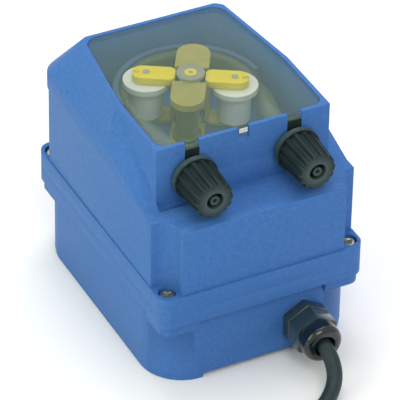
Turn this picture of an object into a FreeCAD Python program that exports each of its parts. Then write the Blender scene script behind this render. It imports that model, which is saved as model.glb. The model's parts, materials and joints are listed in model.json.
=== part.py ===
"""Peristaltic dosing pump: two-piece wall case, pump head, gearmotor and supply cable.

Millimetres, +Z up, with the pump lying on its mounting back. The origin is the centre of
the case's footprint, on the plane of the back rails. -Y is the side with the hose fittings
and the cable gland. -X is the inlet side.
"""
import FreeCAD, Part
import math
import os

V = FreeCAD.Vector

# ---------------------------------------------------------------- case
CASE_W = 98.0            # over the flange, along X
CASE_D = 128.0           # over the flange, along Y
FLANGE_R = 6.0           # vertical corners of the flange
Z_BODY = 2.5             # the rear case stands this far off the wall, on its rails
Z_BOSS = 29.5            # underside of the corner bosses
Z_LIP = 34.5             # underside of the rear case's flange
Z_SEAM = 41.5            # joint between rear case and front case
Z_LEDGE = 50.0           # top of the front case's flange
Z_SHELF = 83.0           # shelf below the hose fittings
Z_SHOULDER = 95.0        # where the side walls turn into the sloping facets
Z_RIM = 112.0            # rim round the window
WALL = 2.8

REAR_X = 48.0            # rear case body, half width
REAR_FRONT = -60.5       # rear case body, front wall
REAR_BACK = 63.0
REAR_R = 20.0            # big vertical corners of the rear case body
RAIL_X = 27.0            # inner edge of the two back rails

FRONT_X = 48.5           # front case body, half width
FRONT_Y = -62.9          # front wall of the front case
BACK_Y = 63.0
NOTCH_X = 9.6            # screw notches in the four vertical corners
NOTCH_Y = 11.5
NOTCH_R = 7.5
NOTCH_TOP = 88.0          # upper end of the two notches at the back
CORNER_LOW_R = 14.0       # back corners of the shoulders, at their foot and at the rim
CORNER_TOP_R = 8.0

WINDOW_X = 41.2          # window box, half width in front of the bend
WINDOW_FRONT = -41.0
WINDOW_BEND = -2.0       # from here the sides run inwards to the back
WINDOW_BACK = 49.9
WINDOW_BACK_X = 34.6
FACET_FRONT = -45.0      # front ends of the sloping facets, on the shelf
FACET_BEND = -8.0        # where a side wall's top edge starts to fall

SCREW_X = 43.6           # case screws
SCREW_Y = 57.6
DECK_Z = 80.5            # underside of the pump deck
CHAMBER_Z = 84.0         # floor of the pump chamber
COVER_Z = 109.4          # ledge that carries the clear cover
COVER_GAP = 0.15

# ---------------------------------------------------------------- pump head
ROTOR_Y = 9.5            # the rotor turns about X = 0, Y = ROTOR_Y
ARM_ANGLE = -31.0        # direction of the right-hand roller arm, from +X
PIN_RADIUS = 19.3        # roller pins from the rotor's axis
ROLLER_R = 7.2
ROLLER_FLANGE_R = 10.2
ROLLER_Z = (87.0, 101.6, 104.2)      # lower end, under the flange, top of the flange
ARM_Z = (84.9, 86.6, 104.6, 107.8)   # lower bar and upper bar of a forked roller arm
ARM_HALF = 4.9
PIN_R = 1.5
RUN = 0.05               # radial running clearance of pins and shafts
ARM_TRAVEL = 2.0         # how far a spring-loaded arm can move inwards
TRACK_R = 31.2           # raceway that the tube lies against
TUBE_FLAT = 4.2          # tube thickness where it lies pressed along the raceway
TUBE_TALL = 10.6
TUBE_OD = 9.0
TUBE_ID = 5.8
FLUID_Z = 95.5           # height of hose fittings and tube
FITTING_X = 24.3
NUT_REAR = -43.0
NUT_FRONT = -63.0
NUT_FLUTES = 14

# ---------------------------------------------------------------- cable entry
GLAND_X = 21.0
GLAND_Z = 16.0
CABLE_D = 7.0

# ---------------------------------------------------------------- drive
GEARBOX_Z = (56.0, 78.4)             # housing below the pump deck
GEARBOX_X = 31.0
MOTOR_Z = (26.0, 56.0)
MOTOR_R = 25.0
MOTOR_POS = (0.0, -16.5)             # the motor's axis
FIRST_POS = (9.0, -8.0)              # first reduction gear
SECOND_POS = (-9.5, -3.0)            # second reduction gear
TOOTH = 0.7

# ---------------------------------------------------------------- cable route
# The supply cable: out of the gland, over onto the surface, and away to its coil.
ROUTE = [(21.0, -75.0, 16.0), (21.0, -85.5, 16.0), (21.0, -92.5, 7.0), (13.5, -100.5, 3.5),
         (3.0, -108.0, 3.5), (-9.5, -114.3, 3.5), (-22.8, -118.9, 3.5), (-35.6, -122.6, 3.5)]
COIL_CENTRE = (-24.0, -163.0)
COIL_MID_R = 38.5        # middle of the turns
COIL_BAND = 14.0         # the turns lie two wide and two high
TIE_ANGLE = 200.0
TAIL = [(-6.0, -201.0, 10.5), (10.0, -192.5, 8.0), (22.0, -180.0, 4.0), (29.0, -165.5, 3.5)]
CORE_R = 1.1
CORE_LENGTH = 32.0
TIE_THICK = 1.1
TIE_WIDTH = 5.0

# ---------------------------------------------------------------- smaller sizes
MOUNT_HOLE = (37.0, 42.0)    # wall screws go through the floor of the rear case
MOUNT_HOLE_R = 2.4
BOARD_SCREW = (19.0, 14.0)
BOARD_Y = 38.0
BOARD_Z = 12.0
SLOT_R = 3.4                 # half width of the slots for the hose fittings
LATCH_X = 2.7
LATCH_Z = 106.4
BUSH_R = 5.0
GEARBOX_SCREW = (27.0, 26.0)
GEARBOX_Y = -3.0
FITTING_TOP = 108.0
LEAD_LENGTH = 16.0           # where the pressed tube turns round again
TUBE_KNEE_Y = -26.0
TUBE_END_Y = -36.6
LOBE_R = 24.0                # tip of a lobe
LOBE_END = 7.4
GUIDE_RADIUS = 16.4
SHAFT_R = 2.5


def box(x0, x1, y0, y1, z0, z1):
    """A box between two corners."""
    return Part.makeBox(x1 - x0, y1 - y0, z1 - z0, V(x0, y0, z0))


def upright(x, y, z0, z1, r):
    """A cylinder along Z."""
    return Part.makeCylinder(r, z1 - z0, V(x, y, z0), V(0, 0, 1))


def lengthwise(x, z, y0, y1, r):
    """A cylinder along Y, from y0 up to y1."""
    return Part.makeCylinder(r, y1 - y0, V(x, y0, z), V(0, 1, 0))


def rounded_wire(points, radii, z):
    """A closed outline at height z, with each corner rounded by its radius."""
    n = len(points)
    edges = []
    ends = []
    for i in range(n):
        p = V(points[i][0], points[i][1], z)
        a = V(points[i - 1][0], points[i - 1][1], z) - p
        b = V(points[(i + 1) % n][0], points[(i + 1) % n][1], z) - p
        a.normalize()
        b.normalize()
        if radii[i] <= 0:
            ends.append((p, p, None))
            continue
        half = a.getAngle(b) / 2
        cut = radii[i] / math.tan(half)
        middle = a + b
        middle.normalize()
        centre = p + middle * (radii[i] / math.sin(half))
        ends.append((p + a * cut, p + b * cut, centre - middle * radii[i]))
    for i in range(n):
        start, end, mid = ends[i]
        if mid is not None:
            edges.append(Part.Arc(start, mid, end).toShape())
        following = ends[(i + 1) % n][0]
        if (following - end).Length > 1e-6:
            edges.append(Part.LineSegment(end, following).toShape())
    return Part.Wire(edges)


def plate(points, radii, z0, z1):
    """A prism with a rounded outline."""
    face = Part.Face(rounded_wire(points, radii, z0))
    return face.extrude(V(0, 0, z1 - z0))


def rectangle(hx, y0, y1):
    """Corners of a rectangle that is centred on X."""
    return [(-hx, y0), (hx, y0), (hx, y1), (-hx, y1)]


def slab(hx, y0, y1, r, z0, z1):
    """A rectangular slab with rounded vertical corners, centred on X."""
    return plate(rectangle(hx, y0, y1), [r] * 4, z0, z1)


def hexagon(x, z, y0, y1, across_flats):
    """A hexagonal prism along Y, with a corner at its top."""
    r = across_flats / math.sqrt(3)
    corners = [V(x + r * math.sin(math.radians(60 * i)), y0, z + r * math.cos(math.radians(60 * i)))
               for i in range(7)]
    return Part.Face(Part.makePolygon(corners)).extrude(V(0, y1 - y0, 0))


def turned(x, z, profile):
    """A solid of revolution about a line along Y: profile holds (y, radius) pairs."""
    corners = [V(x + r, y, z) for y, r in profile]
    corners.append(corners[0])
    face = Part.Face(Part.makePolygon(corners))
    return face.revolve(V(x, 0, z), V(0, 1, 0), 360)


def corners_at(hx, hy):
    """The four corner positions, which are mirror images."""
    return [(sx * hx, sy * hy) for sx in (-1, 1) for sy in (-1, 1)]


def fuse(shapes):
    """One solid from shapes that touch or overlap."""
    result = shapes[0]
    for shape in shapes[1:]:
        result = result.fuse(shape)
    return result.removeSplitter()


def polar(radius, degrees, centre=(0.0, 0.0)):
    """A point in plan, from its distance and direction."""
    a = math.radians(degrees)
    return centre[0] + radius * math.cos(a), centre[1] + radius * math.sin(a)


def about_rotor(shape, degrees=ARM_ANGLE):
    """Turn a shape that was drawn along +X about the origin, and put it on the rotor's axis."""
    shape = shape.copy()
    shape.rotate(V(0, 0, 0), V(0, 0, 1), degrees)
    shape.translate(V(0, ROTOR_Y, 0))
    return shape


# ---------------------------------------------------------------- rear case
def seam_track(width, z0, z1):
    """The band that the case gasket follows round the seam, inside the screws."""
    hx = 47.0
    corner = 24.0
    y0 = REAR_FRONT + 1.0
    y1 = REAR_BACK - 1.0
    outer = slab(hx + width / 2, y0 - width / 2, y1 + width / 2, corner + width / 2, z0, z1)
    inner = slab(hx - width / 2, y0 + width / 2, y1 - width / 2, corner - width / 2, z0, z1)
    return outer.cut(inner)


def rear_case():
    """Rear half: body with large corners, flange, corner bosses, back rails, standoffs."""
    body = slab(REAR_X, REAR_FRONT, REAR_BACK, REAR_R, Z_BODY, Z_SEAM)
    rails = [slab(REAR_X - 0.4, REAR_FRONT + 0.4, REAR_BACK - 0.4, REAR_R - 0.4, 0, Z_BODY).common(
        box(min(s * RAIL_X, s * 60), max(s * RAIL_X, s * 60), -70, 70, 0, Z_BODY)) for s in (-1, 1)]
    flange = slab(CASE_W / 2, -CASE_D / 2, CASE_D / 2, FLANGE_R, Z_LIP, Z_SEAM)
    block = slab(CASE_W / 2 - 1.2, -CASE_D / 2 + 1.2, CASE_D / 2 - 1.2, FLANGE_R - 1.0, Z_BOSS, Z_LIP)
    bosses = [block.common(box(x - 10, x + 10, y - 10, y + 10, Z_BOSS, Z_LIP))
              for x, y in corners_at(CASE_W / 2 - 8.5, CASE_D / 2 - 8.5)]
    shell = fuse([body, flange] + rails + bosses)
    floor = Z_BODY + 3.0
    shell = shell.cut(slab(REAR_X - WALL, REAR_FRONT + WALL, REAR_BACK - WALL, 22.5, floor, Z_SEAM + 1))
    shell = shell.cut(seam_track(1.8, Z_SEAM - 1.4, Z_SEAM + 1))
    for x, y in corners_at(SCREW_X, SCREW_Y):
        shell = shell.cut(upright(x, y, Z_BOSS + 2, Z_SEAM + 1, 1.7))
    for x, y in corners_at(*MOUNT_HOLE):
        shell = shell.cut(upright(x, y, -1, floor + 1, MOUNT_HOLE_R))
        shell = shell.cut(upright(x, y, floor - 1.2, floor + 1, 4.5))
    shell = shell.cut(lengthwise(GLAND_X, GLAND_Z, REAR_FRONT - 5, REAR_FRONT + 5, 7.6))
    shell = shell.cut(lengthwise(GLAND_X, GLAND_Z, REAR_FRONT + WALL, REAR_FRONT + 12, 10.4))
    for x, y in corners_at(*BOARD_SCREW):
        post = upright(x, y + BOARD_Y, floor - 0.5, BOARD_Z, 3.2)
        shell = shell.fuse(post.cut(upright(x, y + BOARD_Y, floor, BOARD_Z + 1, 1.2)))
    for x in (-35.3, 33.0):
        shell = shell.cut(lengthwise(x, Z_BOSS + 1.5, REAR_FRONT - 1, REAR_FRONT + 0.6, 0.8))
    return shell.removeSplitter()


# ---------------------------------------------------------------- front case
def planar(*corners):
    """A flat face through its corners."""
    ring = list(corners) + [corners[0]]
    return Part.Face(Part.makePolygon(ring))


def twisted(a, b, c, d):
    """A ruled face between the edges a-b and d-c."""
    return Part.makeRuledSurface(Part.makeLine(a, b), Part.makeLine(d, c))


def shoulders():
    """The sloping upper part of the front case, from the shelf's level to the rim."""
    def pair(x, y, z):
        return V(-x, y, z), V(x, y, z)
    base = pair(FRONT_X, BACK_Y, Z_SHELF)
    top_back = pair(FRONT_X, BACK_Y, Z_SHOULDER)
    bend = pair(FRONT_X, FACET_BEND, Z_SHOULDER)
    foot = pair(FRONT_X, FACET_FRONT, Z_SHELF)
    toe = pair(WINDOW_X, FACET_FRONT, Z_SHELF)
    rim_bend = pair(WINDOW_X, WINDOW_BEND, Z_RIM)
    rim_back = pair(WINDOW_BACK_X, WINDOW_BACK, Z_RIM)
    faces = [planar(base[0], foot[0], toe[0], toe[1], foot[1], base[1]),
             planar(base[0], base[1], top_back[1], top_back[0]),
             planar(top_back[0], top_back[1], rim_back[1], rim_back[0]),
             planar(rim_back[0], rim_back[1], rim_bend[1], rim_bend[0]),
             planar(rim_bend[0], rim_bend[1], toe[1], toe[0])]
    for i in (0, 1):
        faces.append(planar(base[i], top_back[i], bend[i], foot[i]))
        faces.append(twisted(top_back[i], bend[i], rim_bend[i], rim_back[i]))
        faces.append(twisted(bend[i], foot[i], toe[i], rim_bend[i]))
    shell = Part.makeShell(faces)
    shell.sewShape()
    solid = Part.makeSolid(shell)
    if solid.Volume < 0:
        solid.reverse()
    return solid


def back_corners():
    """What is rounded off the two back corners of the shoulders, up to the rim."""
    y0 = 5.0
    hx = FRONT_X + 0.3
    lean = (WINDOW_X - WINDOW_BACK_X) / (WINDOW_BACK - WINDOW_BEND)
    front_x = WINDOW_X - lean * (y0 - WINDOW_BEND) + 0.3
    back_x = WINDOW_BACK_X + 0.3
    radii = [0, 0, CORNER_LOW_R, CORNER_LOW_R]
    low = rounded_wire([(-hx, y0), (hx, y0), (hx, BACK_Y + 0.3), (-hx, BACK_Y + 0.3)], radii, Z_SHOULDER)
    radii = [0, 0, CORNER_TOP_R, CORNER_TOP_R]
    top = rounded_wire([(-front_x, y0), (front_x, y0), (back_x, WINDOW_BACK + 0.3),
                        (-back_x, WINDOW_BACK + 0.3)], radii, Z_RIM + 0.5)
    kept = Part.makeLoft([low, top], True, True)
    kept = kept.fuse(Part.Face(low).extrude(V(0, 0, NOTCH_TOP - Z_SHOULDER)))
    return box(-60, 60, y0, 80, NOTCH_TOP, Z_RIM + 0.5).cut(kept)


def notch(x, y, z0, z1, grow=0.0):
    """The rounded notch at one vertical corner of the front case, over a case screw."""
    sx = 1 if x > 0 else -1
    sy = 1 if y > 0 else -1
    far = 20.0
    inner = (sx * (FRONT_X - NOTCH_X - grow), sy * (BACK_Y - NOTCH_Y - grow))
    points = [inner, (sx * (FRONT_X + far), inner[1]), (sx * (FRONT_X + far), sy * (BACK_Y + far)),
              (inner[0], sy * (BACK_Y + far))]
    return plate(points, [NOTCH_R + grow, 0, 0, 0], z0, z1)


def window_outline(inset):
    """Plan of the window box, moved inwards by inset."""
    lean = (WINDOW_X - WINDOW_BACK_X) / (WINDOW_BACK - WINDOW_BEND)
    back_x = WINDOW_BACK_X - inset + lean * inset
    half = [(WINDOW_X - inset, WINDOW_FRONT + inset), (WINDOW_X - inset, WINDOW_BEND),
            (back_x, WINDOW_BACK - inset)]
    return half + [(-x, y) for x, y in reversed(half)]


def window_plate(inset, front_r, back_r, z0, z1):
    """A prism with the window's plan."""
    return plate(window_outline(inset), [front_r, 30, back_r, back_r, 30, front_r], z0, z1)


def front_case():
    """Front half: flange, body with screw notches, shelf, facets, window box, pump chamber."""
    flange = slab(CASE_W / 2, -CASE_D / 2, CASE_D / 2, FLANGE_R, Z_SEAM, Z_LEDGE)
    body = box(-FRONT_X, FRONT_X, FRONT_Y, BACK_Y, Z_LEDGE, Z_SHELF)
    window = box(-WINDOW_X, WINDOW_X, WINDOW_FRONT, WINDOW_BEND + 1, Z_SHELF - 1, Z_RIM)
    lump = body.fuse(shoulders()).fuse(window)
    lump = lump.cut(box(-WINDOW_X, WINDOW_X, FACET_FRONT - 1, WINDOW_FRONT, Z_SHELF, Z_RIM))
    for x, y in corners_at(1, 1):
        lump = lump.cut(notch(x, y, Z_LEDGE, Z_RIM + 1 if y < 0 else NOTCH_TOP))
    lump = lump.cut(back_corners())
    shell = fuse([flange, lump])
    cavity = box(-FRONT_X + WALL, FRONT_X - WALL, FRONT_Y + WALL, BACK_Y - WALL, Z_SEAM - 1, DECK_Z)
    for x, y in corners_at(1, 1):
        cavity = cavity.cut(notch(x, y, Z_SEAM - 2, Z_RIM, 2.4))
    shell = shell.cut(cavity)
    shell = shell.cut(window_plate(3.0, 4.0, 6.0, CHAMBER_Z, Z_RIM + 1))
    shell = shell.cut(window_plate(1.9, 5.0, 7.0, COVER_Z, Z_RIM + 1))
    for x, y in corners_at(SCREW_X, SCREW_Y):
        shell = shell.cut(upright(x, y, Z_SEAM - 1, Z_LEDGE + 1, 2.2))
        shell = shell.cut(upright(x, y, Z_LEDGE - 3.2, Z_LEDGE + 1, 4.0))
    for x in (-FITTING_X, FITTING_X):
        shell = shell.cut(lengthwise(x, FLUID_Z, WINDOW_FRONT - 1, WINDOW_FRONT + 4, SLOT_R))
        shell = shell.cut(box(x - SLOT_R, x + SLOT_R, WINDOW_FRONT - 1, WINDOW_FRONT + 4, FLUID_Z, Z_RIM + 1))
    shell = shell.cut(box(-LATCH_X, LATCH_X, WINDOW_FRONT - 1, WINDOW_FRONT + 4, LATCH_Z, Z_RIM + 1))
    shell = shell.cut(upright(0, ROTOR_Y, DECK_Z - 1, CHAMBER_Z + 1, BUSH_R))
    for x, y in corners_at(*GEARBOX_SCREW):
        shell = shell.cut(upright(x, y + GEARBOX_Y, DECK_Z - 2, DECK_Z + 2.2, 1.2))
    return shell.removeSplitter()


def case_screws():
    """Four pan-head screws that hold the case together."""
    shapes = []
    for x, y in corners_at(SCREW_X, SCREW_Y):
        head = upright(x, y, Z_LEDGE - 3.2, Z_LEDGE - 1.0, 3.4)
        head = head.makeFillet(0.8, [e for e in head.Edges if e.BoundBox.ZMin > Z_LEDGE - 1.1])
        screw = head.fuse(upright(x, y, Z_BOSS + 3, Z_LEDGE - 3.0, 1.65))
        for turn in (0, 90):
            slot = box(-2.1, 2.1, -0.4, 0.4, Z_LEDGE - 2.3, Z_LEDGE)
            slot.rotate(V(0, 0, 0), V(0, 0, 1), turn + 20)
            slot.translate(V(x, y, 0))
            screw = screw.cut(slot)
        shapes.append(screw)
    return Part.makeCompound(shapes)


def pump_cover():
    """Clear cover in the window, with a tab over each hose fitting and a latch tongue."""
    cover = window_plate(1.9 + COVER_GAP, 4.85, 6.85, COVER_Z, Z_RIM - 0.2)
    for x in (-FITTING_X, FITTING_X):
        cover = cover.fuse(box(x - SLOT_R + 0.15, x + SLOT_R - 0.15, WINDOW_FRONT + 0.2, WINDOW_FRONT + 4,
                               FITTING_TOP + 0.2, Z_RIM - 0.2))
    half = LATCH_X - 0.3
    tongue = box(-half, half, WINDOW_FRONT + 0.6, WINDOW_FRONT + 4, LATCH_Z + 1.2, Z_RIM - 0.2)
    return cover.fuse(tongue).removeSplitter()


# ---------------------------------------------------------------- tube and raceway
def raceway():
    """U-shaped insert in the chamber whose inner wall carries the squeezed tube."""
    z0 = CHAMBER_Z
    z1 = 101.2
    ring = upright(0, ROTOR_Y, z0, z1, TRACK_R + 2.4).cut(upright(0, ROTOR_Y, z0 - 1, z1 + 1, TRACK_R))
    return ring.cut(box(-50, 50, -60, ROTOR_Y + 0.5, z0 - 1, z1 + 1))


def stadium(half_thick, half_tall, x, y):
    """Closed outline with round ends, standing upright in the plane of constant y."""
    flat = half_tall - half_thick
    top = V(x, y, FLUID_Z + flat)
    low = V(x, y, FLUID_Z - flat)
    out = V(half_thick, 0, 0)
    up = V(0, 0, half_thick)
    return Part.Wire([Part.Arc(top + out, top + up, top - out).toShape(),
                      Part.LineSegment(top - out, low - out).toShape(),
                      Part.Arc(low - out, low - up, low + out).toShape(),
                      Part.LineSegment(low + out, top + out).toShape()])


def tube_pieces(half_thick, half_tall, round_r):
    """The pump tube's path: an arc pressed along the raceway and a round leg to each fitting."""
    mid_r = TRACK_R - 0.1 - TUBE_FLAT / 2
    centre = V(0, ROTOR_Y, FLUID_Z)
    path = Part.Arc(centre + V(mid_r, 0, 0), centre + V(0, mid_r, 0), centre - V(mid_r, 0, 0)).toShape()
    section = stadium(half_thick, half_tall, mid_r, ROTOR_Y)
    pieces = [Part.Wire([path]).makePipeShell([section], True, True)]
    for s in (-1, 1):
        sections = [stadium(half_thick, half_tall, s * mid_r, ROTOR_Y),
                    stadium(round_r * 0.999, round_r, s * (mid_r - 0.9), ROTOR_Y - LEAD_LENGTH),
                    stadium(round_r * 0.999, round_r, s * FITTING_X, TUBE_KNEE_Y),
                    stadium(round_r * 0.999, round_r, s * FITTING_X, TUBE_END_Y)]
        for first, second in zip(sections, sections[1:]):
            pieces.append(Part.makeLoft([first, second], True, True))
    return pieces


def squeeze_tube():
    """The flexible tube, open through its whole length."""
    outside = fuse(tube_pieces(TUBE_FLAT / 2, TUBE_TALL / 2, TUBE_OD / 2))
    wall = (TUBE_OD - TUBE_ID) / 2
    inside = fuse(tube_pieces(0.5, TUBE_TALL / 2 - wall, TUBE_ID / 2))
    return outside.cut(inside)


def connector(x):
    """Hose connector: block that slides into the slot, barb inside, threaded stub, nozzle."""
    y0 = WINDOW_FRONT
    top = FITTING_TOP
    r = SLOT_R - 0.1
    neck = lengthwise(x, FLUID_Z, y0, y0 + 3.2, r).fuse(box(x - r, x + r, y0, y0 + 3.2, FLUID_Z, top))
    inner = lengthwise(x, FLUID_Z, y0 + 3.2, y0 + 4.4, 6.6).fuse(
        box(x - 5.5, x + 5.5, y0 + 3.2, y0 + 4.4, FLUID_Z, top - 1.2))
    outer = lengthwise(x, FLUID_Z, y0 - 1.2, y0, 6.6)
    stub = lengthwise(x, FLUID_Z, NUT_FRONT + 5.0, y0 - 1.2, 5.9)
    nozzle = lengthwise(x, FLUID_Z, NUT_FRONT + 0.3, NUT_FRONT + 5.0, 2.2)
    barb = lengthwise(x, FLUID_Z, y0 + 4.4, y0 + 13, TUBE_ID / 2 - 0.05)
    body = fuse([neck, inner, outer, stub, nozzle, barb])
    return body.cut(lengthwise(x, FLUID_Z, NUT_FRONT - 1, y0 + 14, 1.1))


def hose_nut(x):
    """Fluted compression nut, tapered towards its front, with a collar at its rear."""
    body = turned(x, FLUID_Z, [(NUT_FRONT, 0), (NUT_FRONT, 8.0), (NUT_FRONT + 0.6, 8.6),
                               (NUT_REAR - 2.6, 9.7), (NUT_REAR - 2.6, 10.3), (NUT_REAR, 10.3),
                               (NUT_REAR, 0)])
    for i in range(NUT_FLUTES):
        a = math.radians(360.0 * (i + 0.5) / NUT_FLUTES)
        front = V(x, NUT_FRONT - 1, FLUID_Z) + V(math.cos(a), 0, math.sin(a)) * 8.7
        groove = Part.makeCylinder(1.3, NUT_REAR - NUT_FRONT - 1.6, front, V(0, 1, 0))
        tilt = V(-math.sin(a), 0, math.cos(a))
        groove.rotate(front, tilt, -3.6)
        body = body.cut(groove)
    bore = lengthwise(x, FLUID_Z, NUT_FRONT + 4.0, NUT_REAR + 1, 6.2)
    mouth = lengthwise(x, FLUID_Z, NUT_FRONT - 1, NUT_FRONT + 5, 3.9)
    return body.cut(bore).cut(mouth)


# ---------------------------------------------------------------- rotor
def fork_bar(r0, r1, z0, z1):
    """One bar of a roller arm, along +X from r0 to r1, with a round outer end."""
    points = [(r0, -ARM_HALF), (r1, -ARM_HALF), (r1, ARM_HALF), (r0, ARM_HALF)]
    return plate(points, [3.0, ARM_HALF - 0.4, ARM_HALF - 0.4, 3.0], z0, z1)


def roller_arm(side):
    """Forked spring-loaded arm: upper bar, lower bar and the web between them."""
    upper = fork_bar(6.6, 25.4, ARM_Z[2], ARM_Z[3])
    lower = fork_bar(6.6, 24.2, ARM_Z[0], ARM_Z[1])
    web = box(6.8, 8.5, -3.2, 3.2, ARM_Z[0], ARM_Z[3])
    arm = fuse([upper, lower, web])
    hole = upright(PIN_RADIUS, 0, ARM_Z[0] - 1, ARM_Z[3] + 1, PIN_R)
    slot = box(PIN_RADIUS + 3.0, 30, -1.1, 1.1, ARM_Z[3] - 1.2, ARM_Z[3] + 1)
    return about_rotor(arm.cut(hole).cut(slot), ARM_ANGLE if side > 0 else ARM_ANGLE + 180)


def roller_pin(side):
    """Steel pin of a pressure roller, pressed into its arm."""
    pin = upright(PIN_RADIUS, 0, ARM_Z[0] + 0.1, ARM_Z[3] + 0.5, PIN_R)
    return about_rotor(pin, ARM_ANGLE if side > 0 else ARM_ANGLE + 180)


def pressure_roller(side):
    """White roller with the wide flange that keeps the tube down."""
    z0, z1, z2 = ROLLER_Z
    roller = upright(PIN_RADIUS, 0, z0, z1, ROLLER_R).fuse(upright(PIN_RADIUS, 0, z1, z2, ROLLER_FLANGE_R))
    roller = roller.cut(upright(PIN_RADIUS, 0, z0 - 1, z2 + 1, PIN_R + RUN))
    return about_rotor(roller.removeSplitter(), ARM_ANGLE if side > 0 else ARM_ANGLE + 180)


def rotor_carrier():
    """Two-lobed carrier of the guide rollers, with the core that the drive shaft turns."""
    lobe = LOBE_R - LOBE_END
    shapes = [box(-4.2, 4.2, -9.6, 9.6, ARM_Z[0], ARM_Z[3])]
    for z0, z1 in ((ARM_Z[0], ARM_Z[1]), (ARM_Z[2], ARM_Z[3])):
        for s in (-1, 1):
            shapes.append(upright(0, s * lobe, z0, z1, LOBE_END))
            shapes.append(box(-LOBE_END, LOBE_END, min(s * 5.6, s * lobe), max(s * 5.6, s * lobe), z0, z1))
    body = fuse(shapes)
    for s in (-1, 1):
        body = body.cut(upright(0, s * GUIDE_RADIUS, ARM_Z[0] - 1, ARM_Z[3] - 1.4, PIN_R))
    body = body.cut(upright(0, 0, ARM_Z[0] - 1, ARM_Z[3] + 1, SHAFT_R))
    for s in (-1, 1):
        pocket = Part.makeCylinder(1.7, 6, V(0, 0, 95), V(s, 0, 0))
        body = body.cut(pocket)
    return about_rotor(body)


def guide_roller(side):
    """Spool on a lobe that keeps the tube in line between the pressure rollers."""
    y = side * GUIDE_RADIUS
    spool = upright(0, y, 87.2, 104.0, 4.9)
    for z in (87.2, 102.4):
        spool = spool.fuse(upright(0, y, z, z + 1.6, 6.4))
    spool = spool.cut(upright(0, y, 86, 105, PIN_R + RUN))
    return about_rotor(spool.removeSplitter())


def guide_pins():
    """Pins of the two guide rollers, pressed into the carrier."""
    return Part.makeCompound([about_rotor(upright(0, s * GUIDE_RADIUS, ARM_Z[0] + 0.1, ARM_Z[3] - 1.5, PIN_R))
                              for s in (-1, 1)])


def arm_springs():
    """Two short coil springs between the core and the arms, at their compressed length."""
    springs = []
    for s in (-1, 1):
        turns = 2
        radius = 1.2
        length = 1.6
        helix = Part.makeHelix(length / turns, length, radius)
        profile = Part.Wire([Part.makeCircle(0.25, V(radius, 0, 0), V(0, 1, 0))])
        wire = Part.Wire(helix).makePipeShell([profile], True, True)
        wire.rotate(V(0, 0, 0), V(0, 1, 0), 90 * s)
        wire.translate(V(s * 2.75, 0, 95))
        springs.append(about_rotor(wire))
    return Part.makeCompound(springs)


def hub_cap():
    """Round cap on top of the rotor, with a recess for the shaft nut."""
    cap = upright(0, 0, ARM_Z[3] + 0.1, 109.0, 6.2)
    return about_rotor(cap.cut(upright(0, 0, ARM_Z[3], 110, SHAFT_R + 0.35)))


def shaft_nut():
    """Small round nut on the end of the drive shaft."""
    nut = upright(0, 0, ARM_Z[3] + 0.1, 109.1, SHAFT_R + 0.25)
    return about_rotor(nut.cut(upright(0, 0, ARM_Z[3], 110, 1.2)))


def drive_shaft():
    """Shaft from the output gear up to the rotor."""
    shaft = upright(0, 0, 69.2, ARM_Z[3], SHAFT_R).fuse(upright(0, 0, ARM_Z[3] - 0.1, 108.9, 1.2))
    return about_rotor(shaft.removeSplitter())


def shaft_bush():
    """Flanged bush in the pump deck."""
    bush = upright(0, ROTOR_Y, DECK_Z, CHAMBER_Z, BUSH_R).fuse(upright(0, ROTOR_Y, DECK_Z - 1.2, DECK_Z, 7.0))
    return bush.cut(upright(0, ROTOR_Y, DECK_Z - 3, CHAMBER_Z + 1, SHAFT_R + RUN)).removeSplitter()


# ---------------------------------------------------------------- drive
def gear(x, y, tip_r, teeth, z0, z1, bore):
    """A spur gear with shallow straight teeth."""
    points = []
    for i in range(teeth):
        for share, r in ((-0.30, tip_r - TOOTH), (-0.16, tip_r), (0.16, tip_r), (0.30, tip_r - TOOTH)):
            px, py = polar(r, 360.0 * (i + share) / teeth, (x, y))
            points.append(V(px, py, z0))
    points.append(points[0])
    wheel = Part.Face(Part.makePolygon(points)).extrude(V(0, 0, z1 - z0))
    return wheel.cut(upright(x, y, z0 - 1, z1 + 1, bore))


def gearbox_housing():
    """Open-topped housing that carries the gear pins and the motor."""
    z0, z1 = GEARBOX_Z
    hx = GEARBOX_X
    y0 = GEARBOX_Y - 30
    y1 = GEARBOX_Y + 30
    tray = slab(hx, y0, y1, 5, z0, z1).cut(slab(hx - 2.2, y0 + 2.2, y1 - 2.2, 3, z0 + 2.2, z1 + 1))
    for x, y in corners_at(*GEARBOX_SCREW):
        tray = tray.fuse(upright(x, y + GEARBOX_Y, z0, z1, 3.4))
        tray = tray.cut(upright(x, y + GEARBOX_Y, z0 - 1, z1 + 1, 1.7))
    tray = tray.cut(upright(MOTOR_POS[0], MOTOR_POS[1], z0 - 1, z0 + 3, 5.0))
    return tray.removeSplitter()


def gearbox_plate():
    """Lid of the gearbox, against the pump deck."""
    lid = slab(GEARBOX_X, GEARBOX_Y - 30, GEARBOX_Y + 30, 5, GEARBOX_Z[1], DECK_Z - 0.1)
    for x, y in corners_at(*GEARBOX_SCREW):
        lid = lid.cut(upright(x, y + GEARBOX_Y, GEARBOX_Z[1] - 1, DECK_Z + 1, 1.7))
    return lid.cut(upright(0, ROTOR_Y, GEARBOX_Z[1] - 1, DECK_Z + 1, 7.3))


def gearbox_screws():
    """Four long screws through the gearbox into the pump deck."""
    shapes = []
    for x, y in corners_at(*GEARBOX_SCREW):
        head = upright(x, y + GEARBOX_Y, GEARBOX_Z[0] - 2.2, GEARBOX_Z[0], 2.9)
        shapes.append(head.fuse(upright(x, y + GEARBOX_Y, GEARBOX_Z[0], DECK_Z + 2.0, 1.15)))
    return Part.makeCompound(shapes)


def gear_pins():
    """Fixed pins of the two reduction gears."""
    first = upright(FIRST_POS[0], FIRST_POS[1], GEARBOX_Z[0] + 2.2, 69.0, PIN_R)
    second = upright(SECOND_POS[0], SECOND_POS[1], GEARBOX_Z[0] + 2.2, 75.0, PIN_R)
    return Part.makeCompound([first, second])


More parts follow.
